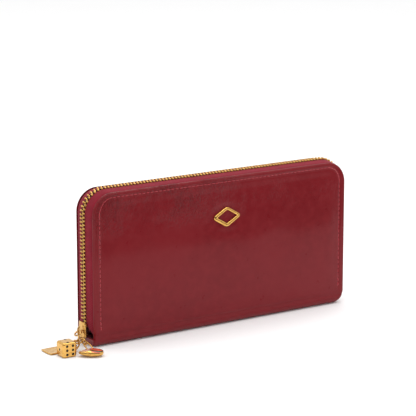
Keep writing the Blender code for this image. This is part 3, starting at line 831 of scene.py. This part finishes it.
PIPS = {
    1: ((0, 0),),
    2: ((0.30, 1.36), (-0.30, -1.36)),
    3: ((-1, 1), (0, 0), (1, -1)),
    4: ((-1, -1), (-1, 1), (1, -1), (1, 1)),
    5: ((-1, -1), (-1, 1), (0, 0), (1, -1), (1, 1)),
    6: ((-0.85, -1.14), (-0.85, 0), (-0.85, 1.14), (0.85, -1.14), (0.85, 0), (0.85, 1.14)),
}
# Which number is on which side of the die: outward direction, and the direction of its pips' rows
DIE_FACES = (
    (6, Vector((0, -1, 0)), Vector((1, 0, 0))),
    (1, Vector((-1, 0, 0)), Vector((0, 1, 0))),
    (2, Vector((0, 0, 1)), Vector((1, 0, 0))),
    (5, Vector((0, 1, 0)), Vector((1, 0, 0))),
    (3, Vector((1, 0, 0)), Vector((0, 1, 0))),
    (4, Vector((0, 0, -1)), Vector((1, 0, 0))),
)
PIP_R = 0.92 * MM
PIP_STEP = 2.35 * MM
PIP_DEPTH = 0.28 * MM


def pip_places():
    turn = Matrix.Rotation(DIE_TURN, 3, "Z")
    for number, out, first in DIE_FACES:
        second = out.cross(first)
        for u, v in PIPS[number]:
            place = out * DIE_SIDE / 2 + first * u * PIP_STEP + second * v * PIP_STEP
            yield DIE_CENTRE + turn @ place, turn @ out


def die_piece():
    bm = bmesh.new()
    bmesh.ops.create_cube(bm, size=DIE_SIDE)
    bmesh.ops.bevel(bm, geom=bm.edges[:], offset=DIE_ROUND, segments=6, profile=0.5, affect="EDGES")
    bmesh.ops.rotate(bm, verts=bm.verts, matrix=Matrix.Rotation(DIE_TURN, 3, "Z"))
    bmesh.ops.translate(bm, verts=bm.verts, vec=DIE_CENTRE)
    body = made_mesh("die_body", bm, "polished")
    cutters = bmesh.new()
    for place, out in pip_places():
        radius = (PIP_R**2 + PIP_DEPTH**2) / (2 * PIP_DEPTH)
        centre = place + out * (radius - PIP_DEPTH)
        bmesh.ops.create_uvsphere(
            cutters, u_segments=32, v_segments=24, radius=radius, matrix=Matrix.Translation(centre)
        )
    tool = made_mesh("pip_cutter", cutters, "black")
    cut = body.modifiers.new("Pips", "BOOLEAN")
    cut.object = tool
    cut.solver = "EXACT"
    bpy.context.view_layer.update()
    baked = bpy.data.meshes.new_from_object(body.evaluated_get(bpy.context.evaluated_depsgraph_get()))
    body.modifiers.clear()
    body.data = baked
    bpy.data.objects.remove(tool)
    baked.set_sharp_from_angle(angle=math.radians(40))
    body.modifiers.new("Shading", "WEIGHTED_NORMAL").keep_sharp = True
    settle(body, "die", "polished_brass", "die_charm")
    paint = bmesh.new()
    for place, out in pip_places():
        first = out.orthogonal().normalized()
        second = out.cross(first)
        rings = []
        for share, depth in ((1.0, 0.03), (0.72, 0.16), (0.4, 0.22)):
            turns = (math.tau * k / 20 for k in range(20))
            rings.append([
                place - out * depth * MM + (first * math.cos(a) + second * math.sin(a)) * PIP_R * share
                for a in turns
            ])
        lofted(paint, rings)
    settle(made_mesh("die_pips", paint, "black"), "die", "polished_brass")
    eye = bmesh.new()
    wire_loop(eye, *DIE_EYE, EYE_WIRE)
    settle(made_mesh("die_eye", eye, "brass"), "die", "brass")


def tag_piece():
    """A thin gold tag with soft edges and a slightly dished face."""
    bm = bmesh.new()
    bmesh.ops.create_grid(bm, x_segments=24, y_segments=22, size=0.5)
    for v in bm.verts:
        u, w = v.co.x * 2, v.co.y * 2
        squeeze = 1 - 0.10 * u * u * (1 if u > 0 else 0.3)
        x = v.co.x * TAG_SIZE.x * (1 - 0.06 * w * w)
        y = v.co.y * TAG_SIZE.y * squeeze
        dish = 0.35 * MM * (1 - max(abs(u), abs(w)) ** 2)
        v.co = Vector((x, y, TAG_SIZE.z / 2 - 0.32 * MM - dish * 0.6))
    geometry = bmesh.ops.extrude_face_region(bm, geom=bm.faces[:])["geom"]
    for v in (g for g in geometry if isinstance(g, bmesh.types.BMVert)):
        v.co.z = -TAG_SIZE.z / 2 + 0.32 * MM
    bmesh.ops.translate(bm, verts=bm.verts, vec=TAG_CENTRE)
    tag = made_mesh("tag_plate", bm, "polished")
    edge = tag.modifiers.new("Edge", "BEVEL")
    edge.width = 0.45 * MM
    edge.segments = 4
    edge.limit_method = "ANGLE"
    edge.angle_limit = math.radians(50)
    settle(tag, "tag", "polished_brass", "tag_charm")
    eye = bmesh.new()
    wire_loop(eye, *TAG_EYE, EYE_WIRE)
    settle(made_mesh("tag_eye", eye, "brass"), "tag", "brass")


def petal_half_width(t):
    """Half the petal's width at a share t of its length from the pointed tip."""
    return (0.3 * MM + PETAL_WIDTH / 2 * math.sqrt(t) * (1 - t) ** 0.35 * 1.45) * 0.98


PETAL_RING_STEPS = 72
PETAL_LENGTH_STEPS = 60


def petal_piece():
    """A drop-shaped cast petal with coral, green and pink enamel fields on its upper face."""
    bm = bmesh.new()
    turn = Matrix.Rotation(PETAL_TURN, 3, "Z")
    sections = []
    for i in range(PETAL_LENGTH_STEPS + 1):
        t = 0.5 - 0.5 * math.cos(math.pi * (0.02 + 0.96 * i / PETAL_LENGTH_STEPS))
        round_end = math.sqrt(max(0.0, 1 - (2 * t - 1) ** 2))
        width = petal_half_width(t)
        height = PETAL_HEIGHT / 2 * (0.22 + 0.78 * round_end) * min(1.0, 3.5 * round_end)
        height *= 0.55 + 0.45 * smoothstep(0.0, 0.5, t)
        section = []
        for k in range(PETAL_RING_STEPS):
            a = math.tau * k / PETAL_RING_STEPS
            y, z = math.cos(a), math.sin(a)
            if z > 0:
                z = z**0.8 * (1 - 0.14 * math.exp(-((y - 0.1) / 0.25) ** 2))
            place = Vector(((t - 0.5) * PETAL_LENGTH, y * width, z * height))
            section.append(turn @ place + PETAL_CENTRE)
        sections.append(section)
    lofted(bm, sections)
    piece = made_mesh("petal_body", bm, "polished")
    for look in ("coral", "green", "pink", "rim"):
        piece.data.materials.append(LOOKS[look])
    back = turn.inverted()
    for face in piece.data.polygons:
        face.material_index = petal_field(back @ (face.center - PETAL_CENTRE))
    settle(piece, "petal", "polished_brass", "petal_charm")
    eye = bmesh.new()
    wire_loop(eye, *PETAL_EYE, EYE_WIRE)
    settle(made_mesh("petal_eye", eye, "brass"), "petal", "brass")


def petal_field(place):
    """0 metal, 1 coral, 2 green, 3 pink or 4 dark rim, by where a face is on the petal."""
    t = place.x / PETAL_LENGTH + 0.5
    width = max(petal_half_width(min(0.999, max(0.001, t))), 1e-6)
    a = math.degrees(math.atan2(place.z / (PETAL_HEIGHT / 2), place.y / width))
    green = 100 + 32 * smoothstep(0.25, 0.85, t)
    if a < 50 or t < 0.08 or t > 0.95:
        return 0
    if a < 68:
        return 4 if t > 0.32 else 0
    if t > 0.27 and green < a < green + 15 + 7 * smoothstep(0.6, 0.9, t):
        return 2
    if t > 0.44 and (a < green or (0.5 < t < 0.86 and a < green + 32)):
        return 1
    if t <= 0.44 and a < 128:
        return 3
    return 0


# CAD parts that stay


def carry_over(node, look, levels=0, smooth=False, bevel=0.0):
    """Gives a CAD part its finish, and rounds it where it needs it."""
    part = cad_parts[node]
    part.data.materials.clear()
    part.data.materials.append(LOOKS[look])
    if levels or smooth or bevel:
        weld = part.modifiers.new("Weld", "WELD")
        weld.merge_threshold = 0.000005
    if bevel:
        edge = part.modifiers.new("Edge", "BEVEL")
        edge.width = bevel
        edge.segments = 3
        edge.limit_method = "ANGLE"
        edge.angle_limit = math.radians(40)
    if levels:
        refined = part.modifiers.new("Round", "SUBSURF")
        refined.levels = refined.render_levels = levels
    if smooth:
        part.data.shade_smooth()


# Chain: name, body, middle, across its plane, along it, bend radius and how far its ends are drawn out
LINKS = (
    ("round_link", "round_link", (-104.7, -1.0, 8.7), (0.51, -0.03, -0.86), (-0.83, -0.26, -0.49), 2.4, 0.0),
    ("long_link", "long_link", (-106.6, -4.8, 7.3), (0.88, -0.45, 0.13), (-0.40, -0.86, -0.31), 2.0, 1.7),
    ("jump_ring", "jump_ring", (-108.3, -9.7, 6.5), (-0.46, 0.08, 0.88), (-0.28, -0.96, -0.06), 3.2, 0.0),
    ("die_ring", "die", (-112.0, -11.8, 5.2), (-0.41, 0.89, -0.21), (-0.87, -0.45, -0.21), 2.0, 0.8),
    ("petal_ring", "petal", (-107.9, -13.7, 6.6), (-0.86, -0.18, -0.48), (0.20, -0.98, 0.0), 2.4, 0.0),
    ("tag_ring", "tag", (-112.0, -9.1, 3.8), (0.08, 0.97, -0.24), (-0.78, -0.09, -0.62), 2.6, 0.6),
)
LINK_WIRE = 0.5 * MM


def chain():
    for node, body, *shape in LINKS:
        bm = bmesh.new()
        wire_loop(bm, *shape, LINK_WIRE, steps=56, sides=14)
        settle(made_mesh(f"{node}_wire", bm, "brass"), body, "brass", node)


# Slider: height, half width and depth of its side walls, which stay shallow where the front stop swings out
SLIDER_STATIONS = (
    (15.6, 2.5, 1.0), (15.45, 3.2, 1.3), (15.0, 3.65, 2.0), (14.2, 3.8, 2.5), (13.3, 3.9, 2.5),
    (12.85, 3.95, 2.3), (12.55, 4.0, 1.35), (11.0, 4.1, 1.35), (9.0, 4.25, 1.35), (7.2, 4.3, 1.35),
    (6.1, 4.2, 1.35), (5.3, 3.8, 1.3), (4.8, 3.0, 1.2), (4.6, 2.1, 1.0),
)
SLIDER_FACE_X = -101.8
SLIDER_PLATE = 0.85


def slider_section(half, depth):
    """Half of a U in (x, y), from the middle of its face round the wall to the middle of its inner side."""
    return (
        (-0.14, 0.0), (-0.06, half * 0.55), (0.08, half - 0.85), (0.3, half - 0.3), (0.75, half),
        (depth - 0.25, half), (depth, half - 0.22), (depth, half - 0.55), (depth - 0.25, half - 0.78),
        (SLIDER_PLATE + 0.12, half - 0.85), (SLIDER_PLATE, half - 1.1), (SLIDER_PLATE, half * 0.3),
    )


def slider_piece():
    """The slider's cast body, wider at its foot, with side walls that hold the tapes above."""
    bm = bmesh.new()
    sections = []
    for z, half, depth in SLIDER_STATIONS:
        one = slider_section(half, depth)
        loop = [(x, -y) for x, y in one] + [(x, y) for x, y in reversed(one[1:])]
        sections.append([Vector((SLIDER_FACE_X + x, y, z)) * MM for x, y in loop])
    lofted(bm, sections)
    piece = made_mesh("slider_cast", bm, "brass")
    refined = piece.modifiers.new("Round", "SUBSURF")
    refined.levels = refined.render_levels = 2
    settle(piece, "zip_slider", "brass", "slider_body")


# A gusset's pleats from the front (x, y), in from the wallet's end, and the height it spans
PLEATS = (
    (88.2, -7.0), (95.0, -5.2), (87.4, -3.4), (94.7, -2.0), (95.3, 0.0),
    (94.7, 2.0), (87.4, 3.4), (95.0, 5.2), (88.2, 7.0),
)
GUSSET_FOOT, GUSSET_TOP = 8.2, 77.5
PLEAT_STEPS = 6
GUSSET_ROWS = 30


def gusset(end, name):
    """A leather fan at one end."""
    bm = bmesh.new()
    profile = []
    for (x0, y0), (x1, y1) in zip(PLEATS, PLEATS[1:]):
        for k in range(PLEAT_STEPS):
            t = k / PLEAT_STEPS
            eased = 0.5 - 0.5 * math.cos(math.pi * t)
            profile.append((x0 + (x1 - x0) * eased, y0 + (y1 - y0) * t))
    profile.append(PLEATS[-1])
    rows = []
    for i in range(GUSSET_ROWS + 1):
        z = GUSSET_FOOT + (GUSSET_TOP - GUSSET_FOOT) * i / GUSSET_ROWS
        rows.append([bm.verts.new(Vector((end * x, y, z)) * MM) for x, y in profile])
    for one, other in zip(rows, rows[1:]):
        for k in range(len(one) - 1):
            bm.faces.new((one[k], one[k + 1], other[k + 1], other[k]))
    fan = made_mesh(f"gusset_fan_{name}", bm, "lining")
    thick = fan.modifiers.new("Thickness", "SOLIDIFY")
    thick.thickness = 0.6 * MM
    thick.offset = 0
    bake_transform(fan)
    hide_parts(f"gusset_{name}")


# The lining across the inside of the spine, from the front (y, z)
FOOT_LINING = ((-7.15, 8.6), (-7.35, 6.6), (-7.3, 5.2), (-6.6, 4.2), (-5.2, 3.75), (-2.6, 3.6), (0.0, 3.6))
FOOT_LINING_HALF = 95.0
FOOT_LINING_STEPS = 60


def foot_lining():
    """Covers the spine board between the two linings."""
    bm = bmesh.new()
    profile = list(FOOT_LINING) + [(-y, z) for y, z in reversed(FOOT_LINING[:-1])]
    columns = []
    for i in range(FOOT_LINING_STEPS + 1):
        x = -FOOT_LINING_HALF + 2 * FOOT_LINING_HALF * i / FOOT_LINING_STEPS
        columns.append([bm.verts.new(Vector((x, y, z)) * MM) for y, z in profile])
    for one, other in zip(columns, columns[1:]):
        for k in range(len(one) - 1):
            bm.faces.new((one[k], one[k + 1], other[k + 1], other[k]))
    sheet = made_mesh("spine_lining", bm, "lining")
    thick = sheet.modifiers.new("Thickness", "SOLIDIFY")
    thick.thickness = 0.4 * MM
    thick.offset = 0
    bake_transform(sheet)


SPINE_END_FOOT, SPINE_END_RISE = 0.5, 4.7
SPINE_END_GAP = 0.7 * MM
SPINE_END_RECESS = 0.5 * MM
SPINE_END_ROWS = 8
SPINE_END_COLUMNS = 12


def spine_ends():
    """The leather that closes each end of the spine."""
    for end, name in ((-1, "left"), (1, "right")):
        bm = bmesh.new()
        rows = []
        for i in range(SPINE_END_ROWS + 1):
            z = (SPINE_END_FOOT + SPINE_END_RISE * i / SPINE_END_ROWS) * MM
            drop = SPINE_R - math.sqrt(SPINE_R**2 - max(0.0, SPINE_R - z) ** 2)
            half_y = FACE_Y - SPINE_END_GAP - drop
            x = end * (HALF - edge_in(z, end) - SPINE_END_RECESS)
            across = (-half_y + 2 * half_y * k / SPINE_END_COLUMNS for k in range(SPINE_END_COLUMNS + 1))
            rows.append([bm.verts.new((x, y, z)) for y in across])
        for one, other in zip(rows, rows[1:]):
            for k in range(SPINE_END_COLUMNS):
                bm.faces.new((one[k], one[k + 1], other[k + 1], other[k]))
        cap = made_mesh(f"spine_end_{name}", bm, "leather")
        thick = cap.modifiers.new("Thickness", "SOLIDIFY")
        thick.thickness = 1.3 * MM
        thick.offset = 0
        edge = cap.modifiers.new("Edge", "BEVEL")
        edge.width = 0.45 * MM
        edge.segments = 3
        edge.angle_limit = math.radians(50)
        settle(cap, "back_half", "red_leather")


def carried_over():
    carry_over("slider_bail", "brass", levels=1, smooth=True)
    for half in ("front", "back"):
        carry_over(f"{half}_board", "board", bevel=0.1 * MM)
        carry_over(f"{half}_lining", "lining", bevel=0.2 * MM)
        for i in range(4):
            carry_over(f"{half}_card_strip_{i + 1}", "lining", bevel=0.2 * MM)
        carry_over(f"{half}_top_stop", "brass", bevel=0.3 * MM)
        carry_over(f"pocket_{half}_wall", "lining", bevel=0.15 * MM)
        carry_over(f"pocket_{half}_tape", "tape", bevel=0.15 * MM)
        carry_over(f"pocket_{half}_teeth", "brass", bevel=0.15 * MM)
    carry_over("pocket_foot_strip", "lining", bevel=0.15 * MM)
    carry_over("spine_board", "board", bevel=0.1 * MM)
    carry_over("emblem_washer", "brass", bevel=0.1 * MM)
    carry_over("zip_bottom_stop", "brass", bevel=0.4 * MM)
    carry_over("pocket_slider", "brass", bevel=0.25 * MM)
    carry_over("pocket_pull", "brass", bevel=0.25 * MM)


# Studio


def floor():
    bm = bmesh.new()
    bmesh.ops.create_grid(bm, x_segments=2, y_segments=2, size=6.0)
    LOOKS["floor"] = floor_finish()
    made_mesh("floor", bm, "floor")


def area_light(name, place, aim, size, watts, colour=(1, 1, 1)):
    light = bpy.data.lights.new(name, "AREA")
    light.shape = "RECTANGLE"
    light.size, light.size_y = size
    light.energy = watts
    light.color = colour
    lamp = bpy.data.objects.new(name, light)
    lamp.location = place
    lamp.rotation_euler = (Vector(aim) - Vector(place)).to_track_quat("-Z", "Y").to_euler()
    bpy.context.scene.collection.objects.link(lamp)


def world_light(strength):
    world = bpy.data.worlds.new("studio")
    world.use_nodes = True
    background = world.node_tree.nodes["Background"]
    background.inputs["Color"].default_value = (1, 1, 1, 1)
    background.inputs["Strength"].default_value = strength
    bpy.context.scene.world = world


def camera():
    data = bpy.data.cameras.new("camera")
    data.lens = LENS
    data.clip_start = 0.01
    made = bpy.data.objects.new("camera", data)
    flat = math.cos(CAMERA_ELEVATION)
    x, y = math.sin(CAMERA_AZIMUTH) * flat, -math.cos(CAMERA_AZIMUTH) * flat
    toward = Vector((x, y, math.sin(CAMERA_ELEVATION)))
    made.location = CAMERA_TARGET + toward * CAMERA_DISTANCE
    made.rotation_euler = (-toward).to_track_quat("-Z", "Y").to_euler()
    bpy.context.scene.collection.objects.link(made)
    bpy.context.scene.camera = made


def flag(name, corner, one, other):
    """A dark card that only reflections see, as a studio uses to give metal and glaze their contrast."""
    bm = bmesh.new()
    corner, one, other = Vector(corner), Vector(one), Vector(other)
    bm.faces.new([bm.verts.new(p) for p in (corner, corner + one, corner + one + other, corner + other)])
    card = made_mesh(name, bm, "card", smooth=False)
    card.visible_camera = card.visible_diffuse = card.visible_shadow = False
    card.visible_transmission = card.visible_volume_scatter = False


def studio():
    floor()
    dark = (0.03, 0.025, 0.022, 1)
    LOOKS["card"] = Paint("card", roughness=1.0, Base_Color=dark, Specular_IOR_Level=0.0).material
    flag("floor_flag", (-0.1, -0.22, 0.003), (1.4, 0.1, 0), (0.3, -1.2, 0))
    flag("front_flag", (-1.9, -1.5, 0.0), (2.4, -0.6, 0), (0, 0, 1.0))
    flag("left_flag", (-1.3, -0.7, 0.0), (0, 0.9, 0), (0, 0, 0.85))
    world_light(0.97)
    area_light("overhead", (0.1, 0.0, 1.3), (0, 0, 0), (1.2, 1.2), 10.5)
    bpy.context.scene.view_settings.view_transform = "Standard"
    camera()


leather_shell()
for cover_side in (-1, 1):
    seam(cover_side)
    tape_wall(cover_side)
    tape_cord_painted_shade(cover_side)
    teeth(cover_side)
emblem_piece()
die_piece()
tag_piece()
petal_piece()
chain()
slider_piece()
spine_ends()
gusset(-1, "left")
gusset(1, "right")
foot_lining()
carried_over()
studio()
